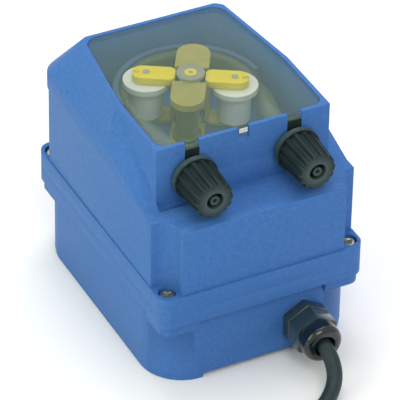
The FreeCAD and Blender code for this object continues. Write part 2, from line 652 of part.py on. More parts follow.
def first_gear():
    """Wheel and pinion driven by the motor."""
    x, y = FIRST_POS
    wheel = gear(x, y, 9.85, 40, 60.0, 63.0, PIN_R + RUN)
    pinion = gear(x, y, 3.0, 12, 63.0, 68.4, PIN_R + RUN)
    return wheel.fuse(pinion).removeSplitter()


def second_gear():
    """Wheel and pinion between the first gear and the output gear."""
    x, y = SECOND_POS
    wheel = gear(x, y, 15.85, 64, 64.6, 67.8, PIN_R + RUN)
    pinion = gear(x, y, 3.2, 13, 67.8, 74.4, PIN_R + RUN)
    return wheel.fuse(pinion).removeSplitter()


def output_gear():
    """Wheel on the drive shaft."""
    return gear(0, ROTOR_Y, 12.2, 49, 70.0, 74.0, SHAFT_R)


def motor_pinion():
    """Pinion on the motor shaft."""
    return gear(MOTOR_POS[0], MOTOR_POS[1], 2.2, 9, 59.6, 63.4, 1.0)


def motor_can():
    """Steel can of the synchronous motor."""
    z0, z1 = MOTOR_Z
    x, y = MOTOR_POS
    can = upright(x, y, z0, z1 - 0.1, MOTOR_R).cut(upright(x, y, z0 + 1.5, z1 - 3.0, MOTOR_R - 1.5))
    can = can.cut(upright(x, y, z1 - 5, z1 + 1, 4.0))
    return can.cut(upright(x, y, z0 - 1, z0 + 3, 1.6))


def motor_bearings():
    """Plain bearings at both ends of the motor shaft."""
    z0, z1 = MOTOR_Z
    x, y = MOTOR_POS
    low = upright(x, y, z0, z0 + 1.5, 1.6)
    high = upright(x, y, z1 - 3.0, z1 - 0.1, 4.0)
    bore = upright(x, y, z0 - 1, z1 + 1, 1.0 + RUN)
    return Part.makeCompound([low.cut(bore), high.cut(bore)])


def motor_coil():
    """Ring coil in the can."""
    x, y = MOTOR_POS
    ring = upright(x, y, MOTOR_Z[0] + 3, MOTOR_Z[1] - 5, MOTOR_R - 2.5)
    return ring.cut(upright(x, y, MOTOR_Z[0], MOTOR_Z[1], 13.0))


def motor_rotor():
    """Magnet rotor with its shaft."""
    x, y = MOTOR_POS
    magnet = upright(x, y, MOTOR_Z[0] + 4, MOTOR_Z[1] - 6, 11.5)
    return magnet.fuse(upright(x, y, MOTOR_Z[0] + 0.3, 63.4, 1.0)).removeSplitter()


# ---------------------------------------------------------------- electrics
def circuit_board():
    """Control board on the floor of the rear case."""
    board = box(-26, 34, BOARD_Y - 18, BOARD_Y + 18, BOARD_Z, BOARD_Z + 1.6)
    for x, y in corners_at(*BOARD_SCREW):
        board = board.cut(upright(x, y + BOARD_Y, BOARD_Z - 1, BOARD_Z + 3, 1.5))
    return board


def board_screws():
    """Four small screws of the board."""
    shapes = []
    for x, y in corners_at(*BOARD_SCREW):
        head = upright(x, y + BOARD_Y, BOARD_Z + 1.6, BOARD_Z + 3.2, 2.4)
        shapes.append(head.fuse(upright(x, y + BOARD_Y, BOARD_Z - 5, BOARD_Z + 1.6, 1.15)))
    return Part.makeCompound(shapes)


def terminal_block():
    """Screw terminals for the supply cable and the motor."""
    block = box(24.6, 33.6, BOARD_Y - 17, BOARD_Y + 10, BOARD_Z + 1.6, BOARD_Z + 12)
    for i in range(5):
        block = block.cut(upright(29, BOARD_Y - 14 + 5.2 * i, BOARD_Z + 8, BOARD_Z + 13, 1.6))
    return block


def capacitor():
    """Motor capacitor on the board."""
    return upright(-6, BOARD_Y, BOARD_Z + 1.6, BOARD_Z + 24, 9.0)


# ---------------------------------------------------------------- cable entry
def gland_body():
    """Hexagonal gland body with a thread to each side."""
    seat = REAR_FRONT
    body = hexagon(GLAND_X, GLAND_Z, seat - 5.0, seat, 19.0)
    body = body.fuse(lengthwise(GLAND_X, GLAND_Z, seat, seat + 9, 7.5))
    body = body.fuse(lengthwise(GLAND_X, GLAND_Z, seat - 11.5, seat - 5.0, 6.6))
    return body.cut(lengthwise(GLAND_X, GLAND_Z, seat - 13, seat + 10, 3.9)).removeSplitter()


def gland_locknut():
    """Nut that holds the gland from inside the case."""
    inside = REAR_FRONT + WALL
    nut = hexagon(GLAND_X, GLAND_Z, inside, inside + 4, 17.5)
    return nut.cut(lengthwise(GLAND_X, GLAND_Z, inside - 1, inside + 5, 7.55))


def gland_seal():
    """Rubber sleeve that the cap presses round the cable."""
    y1 = REAR_FRONT - 11.6
    ring = lengthwise(GLAND_X, GLAND_Z, y1 - 4.6, y1, 5.6)
    return ring.cut(lengthwise(GLAND_X, GLAND_Z, y1 - 6, y1 + 1, CABLE_D / 2 + 0.05))


def gland_cap():
    """Domed clamping nut: hexagon at the rear, glossy rounded collar at the front."""
    rear = REAR_FRONT - 5.2
    step = rear - 8.6
    front = step - 7.6
    collar = lengthwise(GLAND_X, GLAND_Z, front, step + 1, 9.1)
    collar = collar.makeFillet(3.2, [e for e in collar.Edges if e.BoundBox.YMax < front + 0.1])
    cap = hexagon(GLAND_X, GLAND_Z, step, rear, 18.4).fuse(collar)
    cap = cap.cut(lengthwise(GLAND_X, GLAND_Z, step + 0.9, rear + 1, 6.9))
    cap = cap.cut(lengthwise(GLAND_X, GLAND_Z, step - 2.6, rear, 5.75))
    return cap.cut(lengthwise(GLAND_X, GLAND_Z, front - 1, step, 4.9)).removeSplitter()


# ---------------------------------------------------------------- cable
def smooth_path(points):
    """Straight runs joined by tangent arcs, each as large as its two runs allow."""
    pts = [V(*p) for p in points]
    edges = []
    at = pts[0]
    radii = []
    for i in range(1, len(pts) - 1):
        before = pts[i - 1] - pts[i]
        after = pts[i + 1] - pts[i]
        cut = 0.45 * min(before.Length, after.Length)
        before.normalize()
        after.normalize()
        half_turn = (math.pi - before.getAngle(after)) / 2
        radius = cut / math.tan(half_turn)
        radii.append(round(radius, 1))
        start = pts[i] + before * cut
        end = pts[i] + after * cut
        middle = before + after
        middle.normalize()
        centre = pts[i] + middle * math.hypot(radius, cut)
        edges.append(Part.LineSegment(at, start).toShape())
        edges.append(Part.Arc(start, centre - middle * radius, end).toShape())
        at = end
    edges.append(Part.LineSegment(at, pts[-1]).toShape())
    return Part.Wire(edges), radii


def round_tube(points, diameter, name):
    """A solid cable along a path, with its bend radii and length printed."""
    path, radii = smooth_path(points)
    along = V(*points[1]) - V(*points[0])
    section = Part.Wire([Part.makeCircle(diameter / 2, V(*points[0]), along)])
    tube = path.makePipeShell([section], True, False)
    expected = math.pi * diameter ** 2 / 4 * path.Length
    print(name, "length", round(path.Length, 1), "bend radii", radii,
          "volume share", round(tube.Volume / expected, 4))
    return tube


def inner_lead():
    """The cable inside the gland and the case, up to the terminals."""
    return lengthwise(GLAND_X, GLAND_Z, ROUTE[0][1], BOARD_Y - 18.5, CABLE_D / 2)


def cable_coil():
    """Outer shape of the coiled part of the cable."""
    x, y = COIL_CENTRE
    top = COIL_BAND + 0.4
    ring = upright(x, y, 0.0, top, COIL_MID_R + COIL_BAND / 2)
    ring = ring.cut(upright(x, y, -1, top + 1, COIL_MID_R - COIL_BAND / 2))
    ring = ring.makeFillet(3.0, ring.Edges)
    px, py = polar(COIL_MID_R, TIE_ANGLE, COIL_CENTRE)
    groove = box(-COIL_BAND, COIL_BAND, -3.2, 3.2, -1, TIE_THICK + 0.2)
    groove.rotate(V(0, 0, 0), V(0, 0, 1), TIE_ANGLE)
    groove.translate(V(px, py, 0))
    return ring.cut(groove)


def cable_tie():
    """Strap round the coil."""
    half = COIL_BAND / 2 + 0.2
    top = COIL_BAND + 0.5
    strap = box(-half - TIE_THICK, half + TIE_THICK, -TIE_WIDTH / 2, TIE_WIDTH / 2, 0, top + TIE_THICK)
    strap = strap.cut(box(-half, half, -5, 5, TIE_THICK, top))
    head = box(half + TIE_THICK, half + TIE_THICK + 3.6, -3.6, 3.6, 4.0, 11.0)
    strap = strap.fuse(head).removeSplitter()
    px, py = polar(COIL_MID_R, TIE_ANGLE, COIL_CENTRE)
    strap.rotate(V(0, 0, 0), V(0, 0, 1), TIE_ANGLE)
    strap.translate(V(px, py, 0))
    return strap


def core_frame():
    """Where the stripped cores leave the cable, and their direction in plan."""
    end = V(*TAIL[-1])
    along = end - V(*TAIL[-2])
    along.z = 0
    along.normalize()
    return end, along


def core_wire(index):
    """One stripped core: from the sheath's end down to the surface."""
    end, along = core_frame()
    side = V(-along.y, along.x, 0)
    start = end + side * (index * 2.3 - 2.3) * 0.75 + V(0, 0, -0.6 if index != 1 else 1.2)
    middle = start + along * 9 + side * (index - 1) * 2.0 + V(0, 0, -0.6)
    tip = start + along * CORE_LENGTH + side * (index - 1) * 7.0
    middle.z = max(CORE_R + 0.3, middle.z - 0.6)
    tip.z = CORE_R + 0.1
    return start, middle, tip


def stripped_core(index):
    """Insulated core with two straight stretches and a ball at the bend."""
    start, middle, tip = core_wire(index)
    first = Part.makeCylinder(CORE_R, (middle - start).Length, start, middle - start)
    second = Part.makeCylinder(CORE_R, (tip - middle).Length, middle, tip - middle)
    return fuse([first, second, Part.makeSphere(CORE_R, middle)])


def ferrules():
    """Crimped ends of the three cores."""
    shapes = []
    for i in range(3):
        start, middle, tip = core_wire(i)
        along = tip - middle
        along.normalize()
        shapes.append(Part.makeCylinder(0.7, 7.0, tip, along))
    return Part.makeCompound(shapes)


# ---------------------------------------------------------------- output
def save(name, shape):
    """Write one part as a STEP file, after checking that it is sound."""
    solids = shape.Solids
    sound = shape.isValid() and all(s.Volume > 0 for s in solids)
    print(f"{name:20s} solids {len(solids)} volume {shape.Volume:10.1f} {'ok' if sound else 'NOT SOUND'}")
    if len(solids) == 1:
        shape = solids[0]
    shape.exportStep("parts/" + name + ".step")


def main():
    """Build every part."""
    os.makedirs("parts", exist_ok=True)
    parts = {
        "rear_case": rear_case(),
        "front_case": front_case(),
        "case_gasket": seam_track(1.6, Z_SEAM - 1.4, Z_SEAM),
        "case_screws": case_screws(),
        "pump_cover": pump_cover(),
        "tube_raceway": raceway(),
        "squeeze_tube": squeeze_tube(),
        "inlet_connector": connector(-FITTING_X),
        "outlet_connector": connector(FITTING_X),
        "inlet_nut": hose_nut(-FITTING_X),
        "outlet_nut": hose_nut(FITTING_X),
        "rotor_carrier": rotor_carrier(),
        "roller_arm_left": roller_arm(-1),
        "roller_arm_right": roller_arm(1),
        "roller_pin_left": roller_pin(-1),
        "roller_pin_right": roller_pin(1),
        "pressure_roller_left": pressure_roller(-1),
        "pressure_roller_right": pressure_roller(1),
        "guide_roller_front": guide_roller(-1),
        "guide_roller_back": guide_roller(1),
        "guide_pins": guide_pins(),
        "arm_springs": arm_springs(),
        "hub_cap": hub_cap(),
        "shaft_nut": shaft_nut(),
        "drive_shaft": drive_shaft(),
        "shaft_bush": shaft_bush(),
        "gearbox_housing": gearbox_housing(),
        "gearbox_plate": gearbox_plate(),
        "gearbox_screws": gearbox_screws(),
        "gear_pins": gear_pins(),
        "first_gear": first_gear(),
        "second_gear": second_gear(),
        "output_gear": output_gear(),
        "motor_pinion": motor_pinion(),
        "motor_can": motor_can(),
        "motor_bearings": motor_bearings(),
        "motor_coil": motor_coil(),
        "motor_rotor": motor_rotor(),
        "circuit_board": circuit_board(),
        "board_screws": board_screws(),
        "terminal_block": terminal_block(),
        "capacitor": capacitor(),
        "gland_body": gland_body(),
        "gland_locknut": gland_locknut(),
        "gland_seal": gland_seal(),
        "gland_cap": gland_cap(),
        "inner_lead": inner_lead(),
        "power_cable": round_tube(ROUTE, CABLE_D, "power_cable"),
        "cable_coil": cable_coil(),
        "cable_tail": round_tube(TAIL, CABLE_D, "cable_tail"),
        "cable_tie": cable_tie(),
        "core_brown": stripped_core(0),
        "core_earth": stripped_core(1),
        "core_blue": stripped_core(2),
        "core_ferrules": ferrules(),
    }
    for name, shape in parts.items():
        save(name, shape)


main()
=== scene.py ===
"""Finished look of a peristaltic dosing pump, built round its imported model.

Every class below is one sub-assembly: it holds its sizes, builds or copies its meshes,
dresses them and lets them ride on the body they belong to.
"""

import bmesh
import bpy
import json
import logging
import math
from dataclasses import dataclass
from enum import Enum
from mathutils import Matrix, Vector
from typing import Callable, Iterable, Optional


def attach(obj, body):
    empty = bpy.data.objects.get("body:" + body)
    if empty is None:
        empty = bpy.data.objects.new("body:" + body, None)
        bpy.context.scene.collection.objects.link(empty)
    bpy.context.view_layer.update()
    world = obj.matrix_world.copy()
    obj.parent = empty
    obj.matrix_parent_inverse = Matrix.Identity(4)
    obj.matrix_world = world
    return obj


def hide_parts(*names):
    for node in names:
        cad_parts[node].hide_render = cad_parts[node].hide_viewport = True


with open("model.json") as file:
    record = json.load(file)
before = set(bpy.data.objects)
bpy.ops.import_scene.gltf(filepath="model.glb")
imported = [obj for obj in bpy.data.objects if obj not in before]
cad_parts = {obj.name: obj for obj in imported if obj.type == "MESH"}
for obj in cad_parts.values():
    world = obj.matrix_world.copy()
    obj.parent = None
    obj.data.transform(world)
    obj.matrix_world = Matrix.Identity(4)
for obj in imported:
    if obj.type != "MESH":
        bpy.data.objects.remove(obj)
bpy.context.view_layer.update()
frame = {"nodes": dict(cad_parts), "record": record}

logging.basicConfig(level=logging.INFO, format="%(message)s")
log = logging.getLogger("pump")

MM = 0.001
Colour = tuple[float, float, float]
Place = tuple[float, float, float]

PLAIN_IOR = 1.48          # most plastics here
SOFT_IOR = 1.3            # matt mouldings and the thin clear cover, which mirror less
RAMP_ENDS = (0.35, 0.72)  # where the noise is all first colour, and all second
# Convex edges lightened by pointiness: wear, and a painted highlight.
WEAR_AND_HIGHLIGHT_POINTINESS = (0.52, 0.62)
WEAR_AND_HIGHLIGHT_SHARE = 0.5          # how much of the lighter edge colour (wear and painted highlight) the sharpest edge shows
SMOOTHEST = 0.02
WELD = 2e-6               # metres between points that are one
FLAT = math.radians(0.4)  # faces that turn less than this are one face


# ---------------------------------------------------------------- finishes
class Kind(Enum):
    """What a surface is made of."""

    MOULDED = "moulded plastic"
    GLOSSY = "glossy plastic"
    METAL = "metal"
    RUBBER = "rubber"
    CLEAR = "clear plastic"
    MILKY = "milky plastic"


KIND_VALUES: dict[Kind, dict[str, float]] = {
    Kind.MOULDED: {"IOR": SOFT_IOR, "Specular IOR Level": 0.2},
    Kind.GLOSSY: {"Coat Weight": 0.35, "Coat Roughness": 0.10},
    Kind.METAL: {"Metallic": 1.0},
    Kind.RUBBER: {"Specular IOR Level": 0.3},
    Kind.CLEAR: {"IOR": SOFT_IOR, "Coat Weight": 0.1, "Coat Roughness": 0.05},
    Kind.MILKY: {"Subsurface Weight": 0.5, "Subsurface Scale": 0.003},
}


@dataclass(frozen=True)
class Finish:
    """One finish of the pump, turned into a procedural material.

    Lengths of the grain and the mottle are in metres.
    """

    name: str
    kind: Kind
    colour: Colour
    second: Colour
    roughness: float
    rough_spread: float = 0.08
    mottle: float = 0.012
    grain: float = 0.0007
    bump: float = 0.12
    # lighter colour on convex edges: wear and a painted highlight
    wear_and_highlight: Optional[Colour] = None
    alpha: float = 1.0
    brushed: bool = False

    def material(self) -> bpy.types.Material:
        """Build the material, or find it if it is there already.

        Returns:
            The material.
        """
        name = "look_" + self.name
        found = bpy.data.materials.get(name)
        if found is not None:
            return found
        material = bpy.data.materials.new(name)
        material.use_nodes = True
        tree = material.node_tree
        shader = tree.nodes["Principled BSDF"]
        place = tree.nodes.new("ShaderNodeTexCoord").outputs["Object"]
        self._set_shader(shader)
        self._colour(tree, place, shader)
        self._surface(tree, place, shader)
        return material

    def _set_shader(self, shader: bpy.types.Node) -> None:
        """Set the values that are the same all over the surface.

        Args:
            shader: the Principled shader.
        """
        values = {"Metallic": 0.0, "IOR": PLAIN_IOR, "Alpha": self.alpha, **KIND_VALUES[self.kind]}
        for socket, value in values.items():
            shader.inputs[socket].default_value = value

    def _noise(self, tree: bpy.types.NodeTree, place: bpy.types.NodeSocket, size: float,
               detail: float) -> bpy.types.NodeSocket:
        """A noise pattern of a given size.

        Args:
            tree: the node tree.
            place: the coordinates to read.
            size: length of one lump, in metres.
            detail: how many finer octaves it has.

        Returns:
            The noise value.
        """
        if self.brushed:
            mapping = tree.nodes.new("ShaderNodeMapping")
            mapping.inputs["Scale"].default_value = (1.0, 1.0, 0.08)
            tree.links.new(place, mapping.inputs["Vector"])
            place = mapping.outputs["Vector"]
        noise = tree.nodes.new("ShaderNodeTexNoise")
        noise.inputs["Scale"].default_value = 1.0 / size
        noise.inputs["Detail"].default_value = detail
        noise.inputs["Roughness"].default_value = 0.6
        tree.links.new(place, noise.inputs["Vector"])
        return noise.outputs["Fac"]

    def _colour(self, tree: bpy.types.NodeTree, place: bpy.types.NodeSocket,
                shader: bpy.types.Node) -> None:
        """Mix the two colours over the surface, with lighter convex edges that stand for wear and
        a painted highlight.

        Args:
            tree: the node tree.
            place: the coordinates to read.
            shader: the Principled shader.
        """
        ramp = tree.nodes.new("ShaderNodeValToRGB")
        for end, position, colour in zip(ramp.color_ramp.elements, RAMP_ENDS,
                                         (self.colour, self.second)):
            end.position = position
            end.color = (*colour, 1.0)
        tree.links.new(self._noise(tree, place, self.mottle, 4.0), ramp.inputs["Fac"])
        out = ramp.outputs["Color"]
        # Lighten convex edges by pointiness: wear and a painted highlight.
        if self.wear_and_highlight is not None:
            edges = tree.nodes.new("ShaderNodeNewGeometry").outputs["Pointiness"]
            narrow = tree.nodes.new("ShaderNodeMapRange")
            narrow.inputs["From Min"].default_value = WEAR_AND_HIGHLIGHT_POINTINESS[0]
            narrow.inputs["From Max"].default_value = WEAR_AND_HIGHLIGHT_POINTINESS[1]
            narrow.inputs["To Max"].default_value = WEAR_AND_HIGHLIGHT_SHARE
            tree.links.new(edges, narrow.inputs["Value"])
            mix = tree.nodes.new("ShaderNodeMix")
            mix.data_type = "RGBA"
            mix.inputs["B"].default_value = (*self.wear_and_highlight, 1.0)
            tree.links.new(narrow.outputs["Result"], mix.inputs["Factor"])
            tree.links.new(out, mix.inputs["A"])
            out = mix.outputs["Result"]
        tree.links.new(out, shader.inputs["Base Color"])

    def _surface(self, tree: bpy.types.NodeTree, place: bpy.types.NodeSocket,
                 shader: bpy.types.Node) -> None:
        """Uneven gloss and the fine grain of the mould.

        Args:
            tree: the node tree.
            place: the coordinates to read.
            shader: the Principled shader.
        """
        gloss = tree.nodes.new("ShaderNodeMapRange")
        gloss.inputs["To Min"].default_value = max(SMOOTHEST, self.roughness - self.rough_spread)
        gloss.inputs["To Max"].default_value = self.roughness + self.rough_spread
        tree.links.new(self._noise(tree, place, self.mottle * 0.6, 5.0), gloss.inputs["Value"])
        tree.links.new(gloss.outputs["Result"], shader.inputs["Roughness"])
        bump = tree.nodes.new("ShaderNodeBump")
        bump.inputs["Strength"].default_value = self.bump
        bump.inputs["Distance"].default_value = self.grain * 0.25
        tree.links.new(self._noise(tree, place, self.grain, 3.0), bump.inputs["Height"])
        tree.links.new(bump.outputs["Normal"], shader.inputs["Normal"])


CASE_BLUE = Finish("case_blue", Kind.MOULDED, (0.048, 0.150, 0.408), (0.064, 0.178, 0.462), 0.45,
                   mottle=0.0016, grain=0.0008, bump=0.4)
# Painted highlight: this lighter blue on the case's rounded edges stands in for the light they
# catch.
CASE_EDGE_HIGHLIGHT = Finish("case_edge_highlight", Kind.MOULDED, (0.150, 0.310, 0.680), (0.165, 0.330, 0.710), 0.34,
                   bump=0.10)
CLEAR_COVER = Finish("clear_cover", Kind.CLEAR, (0.26, 0.36, 0.26), (0.22, 0.32, 0.24), 0.12,
                     alpha=0.16, bump=0.03, mottle=0.03)
CHAMBER_BLUE = Finish("chamber_insert", Kind.MOULDED, (0.055, 0.11, 0.26), (0.07, 0.13, 0.29), 0.4)
MILKY_TUBE = Finish("milky_tube", Kind.MILKY, (0.30, 0.38, 0.30), (0.38, 0.46, 0.36), 0.3,
                    alpha=0.22)
# The fittings' lighter rib and edge colour is a painted highlight.
FITTING_BLACK = Finish("fitting_black", Kind.MOULDED, (0.011, 0.021, 0.023), (0.018, 0.031, 0.033),
                       0.5, wear_and_highlight=(0.10, 0.15, 0.15), grain=0.0005, bump=0.2)
AMBER = Finish("amber_carrier", Kind.MILKY, (0.36, 0.31, 0.055), (0.46, 0.40, 0.10), 0.3)
ARM_YELLOW = Finish("arm_yellow", Kind.MOULDED, (0.86, 0.70, 0.03), (0.80, 0.64, 0.025), 0.38)
GUIDE_OLIVE = Finish("guide_olive", Kind.MILKY, (0.13, 0.14, 0.045), (0.19, 0.18, 0.06), 0.3,
                     alpha=0.75)
LATCH_WHITE = Finish("latch_white", Kind.MOULDED, (0.66, 0.70, 0.66), (0.60, 0.64, 0.60), 0.4)
ROLLER_WHITE = Finish("roller_white", Kind.MOULDED, (0.80, 0.83, 0.76), (0.74, 0.77, 0.70), 0.36)
STEEL = Finish("steel", Kind.METAL, (0.56, 0.56, 0.54), (0.66, 0.66, 0.64), 0.25, brushed=True)
ZINC = Finish("zinc_screw", Kind.METAL, (0.50, 0.46, 0.33), (0.62, 0.58, 0.44), 0.34, mottle=0.002)
HUB_GREY = Finish("hub_grey", Kind.MOULDED, (0.30, 0.30, 0.24), (0.36, 0.36, 0.29), 0.4)
NYLON = Finish("gear_nylon", Kind.MOULDED, (0.66, 0.66, 0.60), (0.72, 0.72, 0.66), 0.45)
GASKET = Finish("gasket_rubber", Kind.RUBBER, (0.018, 0.018, 0.018), (0.028, 0.028, 0.028), 0.7)
CAN_STEEL = Finish("motor_steel", Kind.METAL, (0.42, 0.43, 0.44), (0.52, 0.53, 0.54), 0.36,
                   brushed=True)
COPPER = Finish("copper_coil", Kind.METAL, (0.50, 0.20, 0.07), (0.62, 0.27, 0.10), 0.3,
                grain=0.0004, bump=0.5)
BOARD = Finish("board_green", Kind.GLOSSY, (0.012, 0.12, 0.04), (0.018, 0.16, 0.055), 0.4)
TERMINAL = Finish("terminal_green", Kind.MOULDED, (0.03, 0.25, 0.08), (0.04, 0.30, 0.10), 0.45)
SLEEVE = Finish("cap_sleeve", Kind.GLOSSY, (0.012, 0.016, 0.03), (0.02, 0.024, 0.04), 0.3)
# The gland's lighter edge colour is wear and a painted highlight.
GLAND_BLACK = Finish("gland_black", Kind.GLOSSY, (0.004, 0.010, 0.012), (0.007, 0.015, 0.018),
                     0.2, wear_and_highlight=(0.10, 0.17, 0.19), grain=0.0009, bump=0.05)
BRONZE = Finish("bronze", Kind.METAL, (0.50, 0.30, 0.10), (0.58, 0.37, 0.14), 0.4)
SHEATH = Finish("cable_sheath", Kind.RUBBER, (0.016, 0.030, 0.034), (0.024, 0.042, 0.046), 0.46,
                grain=0.0012)
TIE_BLACK = Finish("tie_black", Kind.MOULDED, (0.012, 0.012, 0.012), (0.02, 0.02, 0.02), 0.4)
CORE_BROWN = Finish("core_brown", Kind.RUBBER, (0.14, 0.045, 0.015), (0.17, 0.06, 0.02), 0.45)
CORE_EARTH = Finish("core_green_yellow", Kind.RUBBER, (0.55, 0.52, 0.02), (0.05, 0.30, 0.05),
                    0.45, mottle=0.004)
CORE_BLUE = Finish("core_blue", Kind.RUBBER, (0.02, 0.10, 0.45), (0.03, 0.13, 0.52), 0.45)
TIN = Finish("tin", Kind.METAL, (0.7, 0.7, 0.68), (0.78, 0.78, 0.76), 0.28)

NODE_FINISH: dict[str, Finish] = {
    "rear_case": CASE_BLUE, "front_case": CASE_BLUE, "case_gasket": GASKET, "case_screws": ZINC,
    "pump_cover": CLEAR_COVER, "tube_raceway": CHAMBER_BLUE, "squeeze_tube": MILKY_TUBE,
    "inlet_connector": FITTING_BLACK, "outlet_connector": FITTING_BLACK,
    "inlet_nut": FITTING_BLACK, "outlet_nut": FITTING_BLACK,
    "rotor_carrier": AMBER, "roller_arm_left": ARM_YELLOW,
    "roller_arm_right": ARM_YELLOW, "roller_pin_left": STEEL, "roller_pin_right": STEEL,
    "pressure_roller_left": ROLLER_WHITE, "pressure_roller_right": ROLLER_WHITE,
    "guide_roller_front": GUIDE_OLIVE, "guide_roller_back": GUIDE_OLIVE, "guide_pins": STEEL,
    "arm_springs": STEEL, "hub_cap": HUB_GREY, "shaft_nut": ARM_YELLOW, "drive_shaft": STEEL,
    "shaft_bush": BRONZE, "gearbox_housing": NYLON, "gearbox_plate": NYLON, "gearbox_screws": ZINC,
    "gear_pins": STEEL, "first_gear": NYLON, "second_gear": NYLON, "output_gear": NYLON,
    "motor_pinion": BRONZE, "motor_can": CAN_STEEL, "motor_bearings": BRONZE, "motor_coil": COPPER,
    "motor_rotor": CAN_STEEL, "circuit_board": BOARD, "board_screws": ZINC,
    "terminal_block": TERMINAL, "capacitor": SLEEVE, "gland_body": GLAND_BLACK,
    "gland_locknut": GLAND_BLACK, "gland_seal": GASKET, "gland_cap": GLAND_BLACK,
    "inner_lead": SHEATH, "cable_tie": TIE_BLACK, "core_brown": CORE_BROWN,
    "core_earth": CORE_EARTH, "core_blue": CORE_BLUE, "core_ferrules": TIN,
}

NODE_BODY: dict[str, str] = {node: body for body, nodes
                             in frame["record"]["behaviour"]["bodies"].items() for node in nodes}


def dress(piece: bpy.types.Object, finish: Finish) -> None:
    """Give a piece one finish all over.

    Args:
        piece: the object to dress.
        finish: its finish.
    """
    piece.data.materials.clear()
    piece.data.materials.append(finish.material())


def dress_nodes(nodes: Iterable[str]) -> None:
    """Dress CAD nodes that are shown as they are.

    Args:
        nodes: their names.
    """
    for name in nodes:
        dress(frame["nodes"][name], NODE_FINISH[name])


# ---------------------------------------------------------------- mesh helpers
def finish_mesh(name: str, mesh: bmesh.types.BMesh, finish: Finish, body: str,
                stands_for: Iterable[str] = (), smooth_angle: float = 35.0) -> bpy.types.Object:
    """Turn a bmesh into a piece that rides on a body.

    Args:
        name: the piece's name.
        mesh: the bmesh, which is freed.
        finish: its finish.
        body: the body it rides on.
        stands_for: CAD nodes that it replaces.
        smooth_angle: edges sharper than this stay crisp, in degrees.

    Returns:
        The new object.
    """
    data = bpy.data.meshes.new(name)
    mesh.to_mesh(data)
    mesh.free()
    data.shade_smooth()
    data.set_sharp_from_angle(angle=math.radians(smooth_angle))
    piece = bpy.data.objects.new(name, data)
    bpy.context.scene.collection.objects.link(piece)
    dress(piece, finish)
    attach(piece, body)
    nodes = list(stands_for)
    if nodes:
        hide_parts(*nodes)
    log.info("%s: %d faces on %s", name, len(data.polygons), body)
    return piece


def merged_copy(node: str) -> bmesh.types.BMesh:
    """A CAD node's mesh with its triangles joined and its flat faces made whole.

    Args:
        node: the node's name.

    Returns:
        A new bmesh.
    """
    mesh = bmesh.new()
    mesh.from_mesh(frame["nodes"][node].data)
    bmesh.ops.remove_doubles(mesh, verts=mesh.verts, dist=WELD)
    bmesh.ops.dissolve_limit(mesh, angle_limit=FLAT, use_dissolve_boundaries=False,
                             verts=mesh.verts, edges=mesh.edges, delimit={"NORMAL"})
    return mesh


def rounded_copy(node: str, name: str, radius: float, segments: int = 2, least_angle: float = 40.0,
                 wanted: Optional[Callable[[bmesh.types.BMEdge], bool]] = None,
                 edge_highlight: Optional[Finish] = None) -> bpy.types.Object:
    """A copy of a CAD node whose sharp edges are rounded, in the node's place.

    Args:
        node: the node's name.
        name: the new piece's name.
        radius: how wide the rounding is, in metres.
        segments: faces across the rounding.
        least_angle: only edges sharper than this are rounded, in degrees.
        wanted: a test that picks among the sharp edges.
        edge_highlight: a lighter finish on the rounded edges, a painted highlight, if they have
            one.

    Returns:
        The new object.
    """
    mesh = merged_copy(node)
    least = math.radians(least_angle)
    edges = [edge for edge in mesh.edges if len(edge.link_faces) == 2
             and edge.calc_face_angle(0.0) > least and (wanted is None or wanted(edge))]
    bmesh.ops.bevel(mesh, geom=edges, offset=radius, offset_type="OFFSET", affect="EDGES",
                    segments=segments, profile=0.5, clamp_overlap=True, loop_slide=True,
                    material=-1 if edge_highlight is None else 1)
    piece = finish_mesh(name, mesh, NODE_FINISH[node], NODE_BODY[node],
                        stands_for=[node])
    # The rounded edges get their own lighter finish, a painted highlight.
    if edge_highlight is not None:
        piece.data.materials.append(edge_highlight.material())
    return piece


